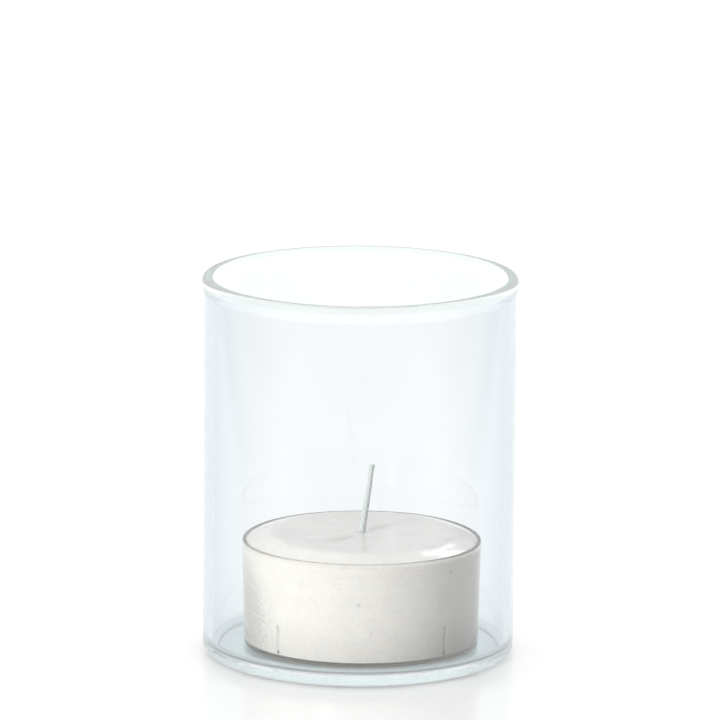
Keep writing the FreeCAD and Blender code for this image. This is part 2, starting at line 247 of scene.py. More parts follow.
class Nodes:
    """Short ways to place and join nodes in one tree."""

    def __init__(self, tree):
        self.tree = tree

    def add(self, kind, **settings):
        node = self.tree.nodes.new(kind)
        for name, value in settings.items():
            setattr(node, name, value)
        return node

    def join(self, source, target):
        self.tree.links.new(source, target)

    def feed(self, node, **inputs):
        """Sets or joins inputs by name, with _ for a space."""
        for name, value in inputs.items():
            socket = node.inputs[name.replace("_", " ")]
            if isinstance(value, bpy.types.NodeSocket):
                self.join(value, socket)
            else:
                socket.default_value = value
        return node

    def maths(self, operation, *values):
        node = self.add("ShaderNodeMath", operation=operation)
        for socket, value in zip(node.inputs, values):
            if isinstance(value, bpy.types.NodeSocket):
                self.join(value, socket)
            else:
                socket.default_value = value
        return node.outputs[0]

    def between(self, value, low, high, to_low=0.0, to_high=1.0):
        """value, eased from low..high to to_low..to_high, and held there outside."""
        node = self.add("ShaderNodeMapRange", interpolation_type="SMOOTHSTEP")
        self.feed(node, Value=value, From_Min=low, From_Max=high, To_Min=to_low, To_Max=to_high)
        return node.outputs["Result"]

    def blend(self, factor, first, second):
        """first, turning to second as factor goes from 0 to 1. Both are colours."""
        node = self.add("ShaderNodeMix", data_type="RGBA")
        for index, value in ((0, factor), (6, first), (7, second)):
            if isinstance(value, bpy.types.NodeSocket):
                self.join(value, node.inputs[index])
            else:
                node.inputs[index].default_value = value
        return node.outputs[2]

    def noise(self, vector, scale, detail=2.0, roughness=0.5):
        node = self.add("ShaderNodeTexNoise")
        self.feed(node, Vector=vector, Scale=scale, Detail=detail, Roughness=roughness)
        return node.outputs["Fac"]


def opaque(rgb):
    """A colour with full alpha, as colour sockets take it."""
    return (*rgb, 1.0)


def new_group(name, inputs, outputs):
    """An empty shader node group with float inputs (name -> default), a Vector input and float outputs."""
    group = bpy.data.node_groups.new(name, "ShaderNodeTree")
    group.interface.new_socket("Vector", in_out="INPUT", socket_type="NodeSocketVector")
    for label, default in inputs.items():
        socket = group.interface.new_socket(label, in_out="INPUT", socket_type="NodeSocketFloat")
        socket.default_value = default
    for label in outputs:
        group.interface.new_socket(label, in_out="OUTPUT", socket_type="NodeSocketFloat")
    nodes = Nodes(group)
    return nodes, nodes.add("NodeGroupInput"), nodes.add("NodeGroupOutput")


def handling_marks():
    """Smudges and hair scratches that handling leaves on a clear surface, as masks and a height."""
    if "Handling marks" in bpy.data.node_groups:
        return bpy.data.node_groups["Handling marks"]
    n, given, out = new_group("Handling marks", {"Amount": 1.0}, ("Smudge", "Height"))
    vector, amount = given.outputs["Vector"], given.outputs["Amount"]
    broad = n.between(n.noise(vector, 55.0, 3.0, 0.6), 0.56, 0.74)
    fine = n.between(n.noise(vector, 900.0, 2.0), 0.45, 0.62)
    smudge = n.maths("MULTIPLY", n.maths("MULTIPLY", broad, fine), amount)
    stretched = n.add("ShaderNodeMapping")
    n.feed(stretched, Vector=vector, Rotation=(0.35, 0.1, 0.4), Scale=(240.0, 240.0, 9.0))
    hairs = n.between(n.noise(stretched.outputs["Vector"], 14.0, 1.0), 0.71, 0.76)
    scratch = n.maths("MULTIPLY", hairs, n.maths("MULTIPLY", amount, 0.3))
    n.join(n.maths("MAXIMUM", smudge, scratch), out.inputs["Smudge"])
    n.join(n.maths("SUBTRACT", n.maths("MULTIPLY", smudge, 0.3), scratch), out.inputs["Height"])
    return n.tree


def flecks():
    """Tiny specks scattered at one size: dust, pits and bits of fibre, as a mask."""
    if "Flecks" in bpy.data.node_groups:
        return bpy.data.node_groups["Flecks"]
    n, given, out = new_group("Flecks", {"Scale": 400.0, "Share": 0.2, "Size": 0.25}, ("Mask",))
    spots = n.add("ShaderNodeTexVoronoi", feature="F1")
    n.feed(spots, Vector=given.outputs["Vector"], Scale=given.outputs["Scale"])
    pick = n.add("ShaderNodeSeparateColor")
    n.join(spots.outputs["Color"], pick.inputs["Color"])
    chosen = n.maths("LESS_THAN", pick.outputs["Red"], given.outputs["Share"])
    size = n.maths("MULTIPLY", given.outputs["Size"], pick.outputs["Green"])
    inside = n.maths("LESS_THAN", spots.outputs["Distance"], size)
    n.join(n.maths("MULTIPLY", chosen, inside), out.inputs["Mask"])
    return n.tree


def new_material(name):
    """A material with one Principled node. Returns it, its node helper, that node and Object coordinates."""
    material = bpy.data.materials.new(name)
    material.use_nodes = True
    n = Nodes(material.node_tree)
    shader = next(x for x in material.node_tree.nodes if x.type == "BSDF_PRINCIPLED")
    place = n.add("ShaderNodeTexCoord").outputs["Object"]
    return material, n, shader, place


def placed(n, group, vector, **inputs):
    """Places a node group in a material, with its own values."""
    node = n.add("ShaderNodeGroup")
    node.node_tree = group
    return n.feed(node, Vector=vector, **inputs)


def bumped(n, height, distance, strength=1.0):
    """A normal raised by height, which is 0 to 1, over distance."""
    bump = n.add("ShaderNodeBump")
    n.feed(bump, Height=height, Distance=distance, Strength=strength)
    return bump.outputs["Normal"]


def let_light_through(n, shader, lamps, scattered):
    """Lets lamps and scattered light straight through a clear shader, dimmed, so what it holds is lit."""
    path = n.add("ShaderNodeLightPath")
    output = next(x for x in n.tree.nodes if x.type == "OUTPUT_MATERIAL")
    surface = shader.outputs[0]
    for ray, shade in (("Is Shadow Ray", lamps), ("Is Diffuse Ray", scattered)):
        clear = n.add("ShaderNodeBsdfTransparent")
        n.feed(clear, Color=shade)
        mix = n.add("ShaderNodeMixShader")
        n.join(path.outputs[ray], mix.inputs[0])
        n.join(surface, mix.inputs[1])
        n.join(clear.outputs[0], mix.inputs[2])
        surface = mix.outputs[0]
    n.join(surface, output.inputs["Surface"])


def seen_along(n, low, high):
    """0 where a surface is seen square on, 1 where it is seen along."""
    facing = n.add("ShaderNodeLayerWeight")
    n.feed(facing, Blend=0.5)
    return n.between(facing.outputs["Facing"], low, high)


def holder_glass(tint, edge, foot, neck, lip):
    """Drawn clear glass: faint blue-green, deeper seen along its wall and in its lip, with slow waves."""
    material, n, shader, place = new_material("holder_glass")
    marks = placed(n, handling_marks(), place, Amount=0.7)
    spot = n.add("ShaderNodeSeparateXYZ")
    n.join(place, spot.inputs[0])
    level = n.add("ShaderNodeCombineXYZ")
    n.feed(level, X=spot.outputs["X"], Y=spot.outputs["Y"])
    radius = n.add("ShaderNodeVectorMath", operation="LENGTH")
    n.join(level.outputs[0], radius.inputs[0])
    outside = n.maths("GREATER_THAN", radius.outputs["Value"], GLASS_HIGH.x - 1.6 * MM)
    along = n.maths("MULTIPLY", outside, seen_along(n, 0.1, 0.85))
    body = n.blend(along, opaque(tint), opaque(edge))
    at_foot = n.between(spot.outputs["Z"], 2.0 * MM, 3.4 * MM, 1.0, 0.0)
    at_lip = n.between(spot.outputs["Z"], GLASS_HIGH.z - 2.6 * MM, GLASS_HIGH.z - 1.0 * MM)
    thick = n.blend(at_lip, n.blend(at_foot, body, opaque(foot)), opaque(neck))
    on_top = n.between(spot.outputs["Z"], GLASS_HIGH.z - 0.5 * MM, GLASS_HIGH.z - 0.1 * MM)
    long_way = n.maths("MULTIPLY", on_top, seen_along(n, 0.65, 0.87))
    n.feed(
        shader, Base_Color=n.blend(long_way, thick, opaque(lip)), IOR=1.5, Transmission_Weight=1.0,
        Roughness=n.maths("MULTIPLY", marks.outputs["Smudge"], 0.12),
    )
    slow = n.noise(place, 60.0, 1.0)
    height = n.maths("ADD", n.maths("MULTIPLY", slow, 0.6), marks.outputs["Height"])
    n.join(bumped(n, height, 0.0025 * MM), shader.inputs["Normal"])
    low_down = n.between(spot.outputs["Z"], 1.2 * MM, 3.8 * MM, 1.0, 0.0)
    far_out = n.between(radius.outputs["Value"], 33 * MM, 35 * MM)
    heel = n.maths("MULTIPLY", low_down, far_out)
    wall_shade, heel_shade = opaque((0.91, 0.91, 0.91)), opaque((0.12, 0.13, 0.13))
    let_light_through(n, shader, opaque((0.935, 0.935, 0.935)), n.blend(heel, wall_shade, heel_shade))
    return material


def cup_plastic(tint, edge, ends):
    """Clear moulded plastic: warm grey seen along, with flow marks from the mould, fine rubbing and a painted
    contact shadow at its foot.
    """
    material, n, shader, place = new_material("cup_plastic")
    marks = placed(n, handling_marks(), place, Amount=1.0)
    up = n.add("ShaderNodeSeparateXYZ")
    n.join(place, up.inputs[0])
    height = up.outputs["Z"]
    side = n.blend(seen_along(n, 0.3, 0.85), opaque(tint), opaque(edge))
    at_rim = n.between(height, CUP_HIGH.z - 0.45 * MM, CUP_HIGH.z - 0.15 * MM)
    at_rim = n.maths("MULTIPLY", at_rim, seen_along(n, 0.05, 0.5))
    # Painted contact shadow: the cup's colour goes dark in the lowest 0.25 mm of its foot.
    at_foot = n.between(height, CUP_LOW.z, CUP_LOW.z + 0.25 * MM, 1.0, 0.0)
    frosted = n.between(height, CUP_LOW.z + 0.9 * MM, CUP_LOW.z + 1.6 * MM, 0.32, 0.02)
    n.feed(
        shader, Base_Color=n.blend(n.maths("MAXIMUM", at_rim, at_foot), side, opaque(ends)), IOR=1.49,
        Transmission_Weight=1.0,
        Roughness=n.maths("ADD", n.maths("MULTIPLY", marks.outputs["Smudge"], 0.15), frosted),
    )
    around = n.add("ShaderNodeMapping")
    n.feed(around, Vector=place, Scale=(40.0, 40.0, 420.0))
    flow = n.noise(around.outputs["Vector"], 1.0, 2.0)
    relief = n.maths("ADD", flow, marks.outputs["Height"])
    n.join(bumped(n, relief, 0.006 * MM), shader.inputs["Normal"])
    shade = opaque((0.93, 0.925, 0.915))
    let_light_through(n, shader, shade, shade)
    return material


def poured_wax(rgb):
    """Cream paraffin wax: soft light in it, with pits and specks. It is painted darker as shade towards its
    bottom and in the swirl's hollows, and mottled darker in a patch at the left, partly where it let go of
    the cup and partly as painted shade.
    """
    material, n, shader, place = new_material("poured_wax")
    light = opaque(rgb)
    dark = opaque([c * 0.62 for c in rgb])
    cloud = n.between(n.noise(place, 240.0, 4.0, 0.6), 0.35, 0.7)
    banded = n.add("ShaderNodeMapping")
    n.feed(banded, Vector=place, Scale=(55.0, 55.0, 1500.0))
    bands = n.between(n.noise(banded.outputs["Vector"], 1.0, 3.0, 0.6), 0.35, 0.7)
    sand = n.between(n.noise(place, 1700.0, 3.0, 0.7), 0.4, 0.65)
    mottle = n.maths("MULTIPLY", n.maths("ADD", cloud, bands), 0.08)
    mottle = n.maths("ADD", mottle, n.maths("MULTIPLY", sand, 0.19))
    specks = placed(n, flecks(), place, Scale=330.0, Share=0.08, Size=0.2).outputs["Mask"]
    tone = n.maths("ADD", mottle, n.maths("MULTIPLY", specks, 0.45))
    up = n.add("ShaderNodeSeparateXYZ")
    n.join(place, up.inputs[0])
    # Painted shade: the wax is coloured darker towards its bottom, fading out by 15 mm up.
    tone = n.maths("ADD", tone, n.between(up.outputs["Z"], 3 * MM, 15 * MM, 0.28, 0.0))
    # Painted shade in the swirl's hollows: darker where shape_crown stored a deeper hollow.
    hollow = n.add("ShaderNodeAttribute", attribute_name="hollow").outputs["Fac"]
    tone = n.maths("ADD", tone, n.maths("MULTIPLY", hollow, 0.45))
    # A darker, grainy patch on the wax's left side: partly wax that let go of the cup, partly painted shade.
    reach = n.add("ShaderNodeVectorMath", operation="DISTANCE")
    n.join(place, reach.inputs[0])
    reach.inputs[1].default_value = (TEALIGHT_X - 28 * MM, -5 * MM, 11 * MM)
    loose_wax_and_shade = n.between(reach.outputs["Value"], 4 * MM, 18 * MM, 0.95, 0.0)
    tone = n.maths("ADD", tone, n.maths("MULTIPLY", loose_wax_and_shade, n.maths("ADD", sand, 0.5)))
    n.feed(
        shader, Base_Color=n.blend(tone, light, dark), IOR=1.44,
        Roughness=n.between(cloud, 0.0, 1.0, 0.34, 0.46),
        Subsurface_Weight=0.35, Subsurface_Radius=(1.0, 0.9, 0.75), Subsurface_Scale=1.6 * MM,
        Coat_Weight=0.55, Coat_Roughness=0.08, Coat_IOR=1.45,
    )
    grain = n.noise(place, 1300.0, 3.0, 0.6)
    pits = placed(n, flecks(), place, Scale=210.0, Share=0.04, Size=0.2).outputs["Mask"]
    height = n.maths("SUBTRACT", n.maths("MULTIPLY", grain, 0.55), pits)
    n.join(bumped(n, height, 0.06 * MM, 0.9), shader.inputs["Normal"])
    return material


def waxed_cotton(rgb):
    """Braided cotton stiff with wax: pale, a little glossy, with painted shade darker between the strands."""
    material, n, shader, place = new_material("waxed_cotton")
    # Painted shade between the braid's strands, from the groove depth the wick stores.
    hollow = n.add("ShaderNodeAttribute", attribute_name="hollow").outputs["Fac"]
    fibre = n.noise(place, 5200.0, 3.0, 0.7)
    lumps = n.between(n.noise(place, 700.0, 2.0), 0.4, 0.65)
    tone = n.maths("ADD", n.maths("MULTIPLY", hollow, 0.4), n.maths("MULTIPLY", fibre, 0.25))
    specks = placed(n, flecks(), place, Scale=900.0, Share=0.05, Size=0.3).outputs["Mask"]
    tone = n.maths("MAXIMUM", tone, specks)
    n.feed(
        shader, Base_Color=n.blend(tone, opaque(rgb), opaque([c * 0.5 for c in rgb])), IOR=1.44,
        Roughness=n.between(lumps, 0.0, 1.0, 0.35, 0.6),
        Subsurface_Weight=0.2, Subsurface_Radius=(1.0, 0.9, 0.8), Subsurface_Scale=0.4 * MM,
        Coat_Weight=0.3, Coat_Roughness=0.2,
    )
    n.join(bumped(n, fibre, 0.02 * MM, 0.7), shader.inputs["Normal"])
    return material


def pressed_tinplate():
    """Pressed tinplate: bright, with rolling lines and a smear of wax."""
    material, n, shader, place = new_material("pressed_tinplate")
    rolled = n.add("ShaderNodeMapping")
    n.feed(rolled, Vector=place, Scale=(90.0, 5200.0, 90.0))
    lines = n.noise(rolled.outputs["Vector"], 1.0, 3.0, 0.6)
    smear = n.between(n.noise(place, 420.0, 3.0), 0.5, 0.7)
    bright, dull = (0.63, 0.62, 0.60, 1.0), (0.42, 0.41, 0.39, 1.0)
    n.feed(
        shader, Base_Color=n.blend(lines, bright, dull), Metallic=1.0,
        Roughness=n.between(n.maths("ADD", lines, smear), 0.3, 1.6, 0.22, 0.5),
    )
    n.join(bumped(n, lines, 0.004 * MM), shader.inputs["Normal"])
    return material


# ---------------------------------------------------------------- the glass


def glass_outline(s):
    """From the middle of the foot, up the outside, over the lip and back to the middle of the floor."""
    lip, top = GLASS_HIGH.x, GLASS_HIGH.z
    outer = lip - s.bulge
    inner = outer - s.wall
    half_lip = (lip - inner) / 2
    floor_step, wall_step = 0.5 * MM, 2.6 * MM
    return rounded_outline(
        [
            (0, 0, 0, floor_step),
            (outer, 0, s.heel, wall_step),
            (outer, top - s.blend, 6 * MM, wall_step),
            (lip, top - 1.7 * MM, 2.5 * MM, wall_step),
            (lip, top, 0.8 * half_lip, wall_step),
            (inner, top, 0.5 * half_lip, wall_step),
            (inner, s.floor, s.corner, floor_step),
            (0, s.floor, 0, floor_step),
        ]
    )


def shape_floor(bm, s):
    """Hollows the floor's underside and presses the tool rings into both of its faces."""
    inner = GLASS_HIGH.x - s.bulge - s.wall
    for vert in bm.verts:
        if vert.co.z > s.floor + s.corner:
            continue
        radius, angle = polar(vert.co)
        underside = vert.co.z < s.floor / 2
        if underside and radius < s.punt_radius:
            vert.co.z += s.punt * (1 - (radius / s.punt_radius) ** 2)
        rings_end = s.punt_radius if underside else inner - s.corner
        fade = smooth_step(radius, 4 * MM, 12 * MM) * (1 - smooth_step(radius, rings_end - 2 * MM, rings_end))
        drift = 0.6 * noise.noise(Vector((math.cos(angle), math.sin(angle), radius / (9 * MM))))
        wave = math.sin(FULL_TURN * radius / s.ripple_pitch + 3 * drift + (0 if underside else 1.3))
        vert.co.z += s.ripple * fade * wave * (0.5 if underside else 1.0)


def wander_wall(bm, s):
    """Lets the wall wander a little from a true cylinder, as drawn glass does."""
    outer = GLASS_HIGH.x - s.bulge
    for vert in bm.verts:
        radius, angle = polar(vert.co)
        if radius < outer - s.wall * 1.2:
            continue
        hold = smooth_step(vert.co.z, s.heel, 14 * MM)
        inside = 7.0 if radius < outer - s.wall / 2 else 0.0
        place = Vector((1.6 * math.cos(angle), 1.6 * math.sin(angle) + inside, vert.co.z / (38 * MM)))
        drift = s.waviness * hold * noise.noise(place)
        if drift > 0 and inside == 0.0:
            drift *= 0.3
        vert.co.x += drift * math.cos(angle)
        vert.co.y += drift * math.sin(angle)


class TEALIGHT_OT_glass(bpy.types.Operator):
    """Blow the glass: straight wall, melted lip, rounded heel and a floor with faint tool rings"""

    bl_idname = "tealight.glass"
    bl_label = "Glass"

    def execute(self, context):
        s = context.scene.holder_settings
        bm = turned(glass_outline(s), s.steps)
        shape_floor(bm, s)
        wander_wall(bm, s)
        material = holder_glass(s.tint, s.edge_tint, s.foot_tint, s.neck_tint, s.lip_tint)
        finished(bm, "glass", material, "holder", "clear_glass", "glass_cup")
        return {"FINISHED"}


# ---------------------------------------------------------------- the tealight's cup and wax


def cup_inner(s, height):
    """Radius of the cup's inner wall at a height above its foot."""
    rim = (CUP_HIGH.x - CUP_LOW.x) / 2
    tall = CUP_HIGH.z - CUP_LOW.z
    return rim - s.draft * (1 - height / tall) - s.cup_wall


def cup_outline(s):
    """The cup's closed section, from the middle of its foot round to the middle of its floor."""
    rim, tall = (CUP_HIGH.x - CUP_LOW.x) / 2, CUP_HIGH.z - CUP_LOW.z
    recess, ring_top, ring_wide = 0.4 * MM, s.cup_floor + 0.6 * MM, 1.0 * MM
    wide, fine = 2.0 * MM, 1.0 * MM
    return rounded_outline(
        [
            (0, recess, 0, wide),
            (s.recess, recess, 0.2 * MM, fine),
            (s.recess + recess, 0, 0.2 * MM, fine),
            (rim - s.draft, 0, 0.9 * MM, wide),
            (rim, tall, 0.42 * MM, fine),
            (rim - s.cup_wall, tall, 0.42 * MM, wide),
            (cup_inner(s, s.cup_floor), s.cup_floor, 0.3 * MM, wide),
            (s.ring + ring_wide, s.cup_floor, 0.1 * MM, fine),
            (s.ring + ring_wide, ring_top, 0.25 * MM, fine),
            (s.ring, ring_top, 0.25 * MM, fine),
            (s.ring, s.cup_floor, 0.1 * MM, fine),
            (0, s.cup_floor, 0, fine),
        ]
    )


def stand_ribs(bm, s, radius_at, width, bottom, top, depth):
    """Draws a rib's outline on the wall at each of its places, and moves what it encloses by depth."""
    for i in range(s.ribs):
        turn = Matrix.Rotation(math.pi / 4 + FULL_TURN * i / s.ribs, 3, "Z")
        out, side = turn @ Vector((1, 0, 0)), turn @ Vector((0, 1, 0))

        def on_wall(face, out=out, side=side, slack=3 * MM):
            middle = face.calc_center_median()
            if abs(middle.dot(side)) > slack or middle.dot(out) < 0 or abs(face.normal.z) > 0.2:
                return False
            return abs(math.hypot(middle.x, middle.y) - radius_at(middle.z)) < 0.15 * MM

        for place, normal in (
            (side * width / 2, side),
            (side * -width / 2, side),
            (Vector((0, 0, bottom)), Vector((0, 0, 1))),
            (Vector((0, 0, top)), Vector((0, 0, 1))),
        ):
            faces = [f for f in bm.faces if on_wall(f)]
            edges = list({e for f in faces for e in f.edges})
            verts = list({v for f in faces for v in f.verts})
            bmesh.ops.bisect_plane(
                bm, geom=faces + edges + verts, dist=0.001 * MM, plane_co=place, plane_no=normal
            )
        inside = [
            f
            for f in bm.faces
            if on_wall(f)
            and abs(f.calc_center_median().dot(side)) < width / 2
            and bottom < f.calc_center_median().z < top
        ]
        if not inside:
            raise RuntimeError("no wall was found where a rib stands")
        bmesh.ops.inset_region(
            bm, faces=inside, thickness=0.03 * MM, depth=depth, use_boundary=True,
            use_even_offset=True,
        )
        for vert in {v for f in inside for v in f.verts}:
            vert.co += out * depth * smooth_step(vert.co.z, top - 3 * MM, top)


class TEALIGHT_OT_cup(bpy.types.Operator):
    """Mould the tealight's clear cup: drafted side, recessed foot, centring ring and stacking ribs"""

    bl_idname = "tealight.cup"
    bl_label = "Clear cup"

    def execute(self, context):
        s = context.scene.tealight_settings
        bm = turned(cup_outline(s), 192)
        foot = s.cup_floor + 0.45 * MM
        head = s.cup_floor + s.rib_height
        stand_ribs(bm, s, lambda z: cup_inner(s, z), s.rib_width, foot, head, s.rib_depth)
        material = cup_plastic(s.cup_tint, s.cup_edge, s.cup_ends_and_foot_shadow)
        finished(
            bm, "clear_cup", material, "tealight", "clear_plastic", "tealight_cup",
            shift=(TEALIGHT_X, 0, CUP_LOW.z),
        )
        return {"FINISHED"}


def wax_outline(s):
    """The wax's closed section: round its recess for the sustainer, up its side and over its crown."""
    tall = CUP_HIGH.z - CUP_LOW.z
    bottom, crown = s.cup_floor - s.wet, WAX_HIGH.z - CUP_LOW.z
    edge = tall - s.edge_drop
    hole = s.wick / 2 + 0.05 * MM
    neck, neck_top = hole + s.sheet + s.gap, DISC_HIGH.z - CUP_LOW.z + s.gap
    seat, seat_top = s.ring + 1.0 * MM + s.gap, s.cup_floor + 0.6 * MM + s.gap
    side_foot, side_top = cup_inner(s, bottom) + s.wet, cup_inner(s, edge) + s.wet
    coarse, fine, finest = 1.5 * MM, 0.8 * MM, 0.33 * MM
    return rounded_outline(
        [
            (hole, neck_top, 0, fine),
            (neck, neck_top, 0.1 * MM, fine),
            (neck, seat_top, 0.15 * MM, coarse),
            (seat, seat_top, 0.15 * MM, fine),
            (seat, bottom, 0.15 * MM, coarse),
            (side_foot, bottom, 0.35 * MM, coarse),
            (side_top, edge, 0.9 * MM, finest),
            (side_top - s.shoulder, crown - 0.12 * MM, 7 * MM, finest),
            (hole, crown, 0, fine),
            (hole, neck_top + fine, 0, fine),
        ]
    )


def swirl_arms():
    """Two curved hollows that run out of the wick, on top of the wax, as points across and back in mm."""
    arms = (
        ((-0.9, -0.5), (-4.2, -1.6), (-4.5, -10.8), (-13.5, -7.0)),
        ((0.9, 1.2), (1.8, 5.4), (4.0, 8.8), (11.0, 10.8)),
    )
    drawn = []
    for arm in arms:
        controls = [Vector((across, back, 0)) * MM for across, back in arm]
        drawn.append(geometry.interpolate_bezier(*controls, 40))
    return drawn


def arm_hollow(point, arm, deepest):
    """How far one arm of the swirl hollows the wax at a point."""
    flat = Vector((point.x, point.y, 0))
    nearest = min(range(len(arm)), key=lambda i: (arm[i] - flat).length_squared)
    along = nearest / (len(arm) - 1)
    width = (0.8 + 1.5 * along) * MM
    away = (arm[nearest] - flat).length
    strength = smooth_step(along, -0.15, 0.3) * (1 - smooth_step(along, 0.45, 1.05))
    return deepest * strength * math.exp(-((away / width) ** 2))


def shape_crown(bm, s):
    """Works the wax's top: the swirl, a low lip of wax at the wick and slow unevenness, and stores the
    swirl's depth for the wax's painted shade in its hollows.
    """
    tall = CUP_HIGH.z - CUP_LOW.z
    arms = swirl_arms()
    hollow_shade_layer = bm.verts.layers.float.new("hollow")
    hole = s.wick / 2 + 0.05 * MM
    edge = cup_inner(s, tall) + s.wet
    for vert in bm.verts:
        radius, angle = polar(vert.co)
        if vert.co.z < tall - s.edge_drop - 0.2 * MM:
            continue
        inward = 1 - smooth_step(radius, edge - 3 * MM, edge - 0.5 * MM)
        hollow = sum(arm_hollow(vert.co, arm, s.swirl) for arm in arms)
        # The swirl's depth here, kept for the painted shade in its hollows.
        vert[hollow_shade_layer] = hollow / s.swirl
        climb = 0.22 * MM * math.exp(-(((radius - hole) / (0.35 * MM)) ** 2))
        sides = 0.6 + 0.4 * math.cos(2 * angle)
        lip = 0.22 * MM * sides * math.exp(-(((radius - 1.75 * MM) / (0.38 * MM)) ** 2))
        dish = -0.1 * MM * math.exp(-(((radius - 1.15 * MM) / (0.3 * MM)) ** 2))
        slow = 0.16 * MM * noise.noise(vert.co / (8 * MM))
        slow -= 0.32 * MM * (1 - smooth_step(radius, 0.45 * edge, 0.78 * edge))
        fine = 0.02 * MM * noise.noise(vert.co / (1.6 * MM))
        vert.co.z += inward * (slow + fine - hollow) + climb + lip + dish


class TEALIGHT_OT_wax(bpy.types.Operator):
    """Pour the wax: a low crown with a rounded shoulder and the swirl it set with"""

    bl_idname = "tealight.wax"
    bl_label = "Wax"

    def execute(self, context):
        s = context.scene.tealight_settings
        bm = turned(wax_outline(s), 224, closed=True)
        shape_crown(bm, s)
        foot = WAX_LOW.z - CUP_LOW.z + 0.35 * MM
        head = s.cup_floor + s.rib_height + s.gap
        width = s.rib_width + 0.06 * MM
        stand_ribs(bm, s, lambda z: cup_inner(s, z) + s.wet, width, foot, head, -s.rib_depth)
        finished(
            bm, "wax", poured_wax(s.wax_colour), "tealight", "wax", "wax_fill",
            shift=(TEALIGHT_X, 0, CUP_LOW.z),
        )
        return {"FINISHED"}


# ---------------------------------------------------------------- the wick and its sustainer


def wick_line(tip_x, foot, surface, top):
    """The wick's centre line: upright in the wax, leaning in a slack S above it, upright at its tip."""
    leaning = geometry.interpolate_bezier(
        Vector((0, 0, surface)),
        Vector((0.42 * tip_x, 0, surface + 0.36 * (top - surface))),
        Vector((0.72 * tip_x, 0, surface + 0.6 * (top - surface))),
        Vector((tip_x, 0, top - 1.2 * MM)),
        90,
    )
    buried = [Vector((0, 0, foot + (surface - foot) * i / 60)) for i in range(60)]
    tip = [Vector((tip_x + 0.02 * MM * i, 0, top - 1.2 * MM + 0.15 * MM * i)) for i in range(1, 9)]
    return buried + leaning + tip


def wick_radius(s, point, surface, top):
    """Thickest at the wax, tapering to a neck under the swollen tip."""
    up = (point.z - surface) / (top - surface)
    if up <= 0:
        return s.wick / 2
    body = s.wick / 2 * (1.2 - 0.34 * smooth_step(up, 0.0, 0.9))
    knob = 0.1 * MM * math.exp(-(((point.z - top + 0.3 * MM) / (0.6 * MM)) ** 2))
    foot = 0.14 * MM * math.exp(-(((point.z - surface) / (0.5 * MM)) ** 2))
    return body + knob + foot


def braid_height(turn, along, strands=4, pitch=3.6 * MM):
    """Height of the braid, 0 to 1, where strands cross over and under each other."""
    climb = along / pitch
    right = math.cos(strands * (turn + climb * FULL_TURN / 2))
    left = math.cos(strands * (turn - climb * FULL_TURN / 2) + math.pi)
    over = max(right, left)
    return 0.5 + 0.5 * over


class TEALIGHT_OT_wick(bpy.types.Operator):
    """Braid the wick: waxed cotton, leaning, with a swollen cut tip"""

    bl_idname = "tealight.wick"
    bl_label = "Wick"

    def execute(self, context):
        s = context.scene.tealight_settings
        foot, surface, top = WICK_LOW.z, WAX_HIGH.z, WICK_HIGH.z
        tip_x = WICK_HIGH.x - s.wick / 2 - TEALIGHT_X
        line = wick_line(tip_x, foot, surface, top)
        bm = bmesh.new()
        hollow = bm.verts.layers.float.new("hollow")
        sides = 40
        ring = bmesh.ops.create_circle(bm, cap_ends=True, segments=sides, radius=s.wick / 2)["verts"]
        bottom = list({f for v in ring for f in v.link_faces})
        bmesh.ops.reverse_faces(bm, faces=bottom)
        bmesh.ops.translate(bm, verts=ring, vec=line[0])
        edges = list({e for v in ring for e in v.link_edges})
        along = 0.0
        for before, here in zip(line, line[1:]):
            grown = bmesh.ops.extrude_edge_only(bm, edges=edges)["geom"]
            ring = [g for g in grown if isinstance(g, bmesh.types.BMVert)]
            edges = [g for g in grown if isinstance(g, bmesh.types.BMEdge)]
            bmesh.ops.translate(bm, verts=ring, vec=here - before)
            along += (here - before).length
            radius = wick_radius(s, here, surface, top)
            past = max(0.0, 0.3 * MM - (top - here.z)) / (0.34 * MM)
            rounding = math.sqrt(max(0.0, 1 - past**2))
            for vert in ring:
                out = vert.co - here
                height = braid_height(math.atan2(out.y, out.x), along)
                # The braid's groove depth, kept for the cotton's painted shade between the strands.
                vert[hollow] = (1 - height) * (1.0 if here.z > surface else 0.3)
                depth = 0.05 * MM * (1 - height) * smooth_step(here.z, surface - 2 * MM, surface)
                vert.co = here + out.normalized() * (radius * rounding - depth)
        bmesh.ops.contextual_create(bm, geom=edges)
        bmesh.ops.recalc_face_normals(bm, faces=bm.faces)
        finished(
            bm, "braided_wick", waxed_cotton(s.wick_colour), "tealight", "waxed_cotton", "wick",
            shift=(TEALIGHT_X, 0, 0),
        )
        return {"FINISHED"}


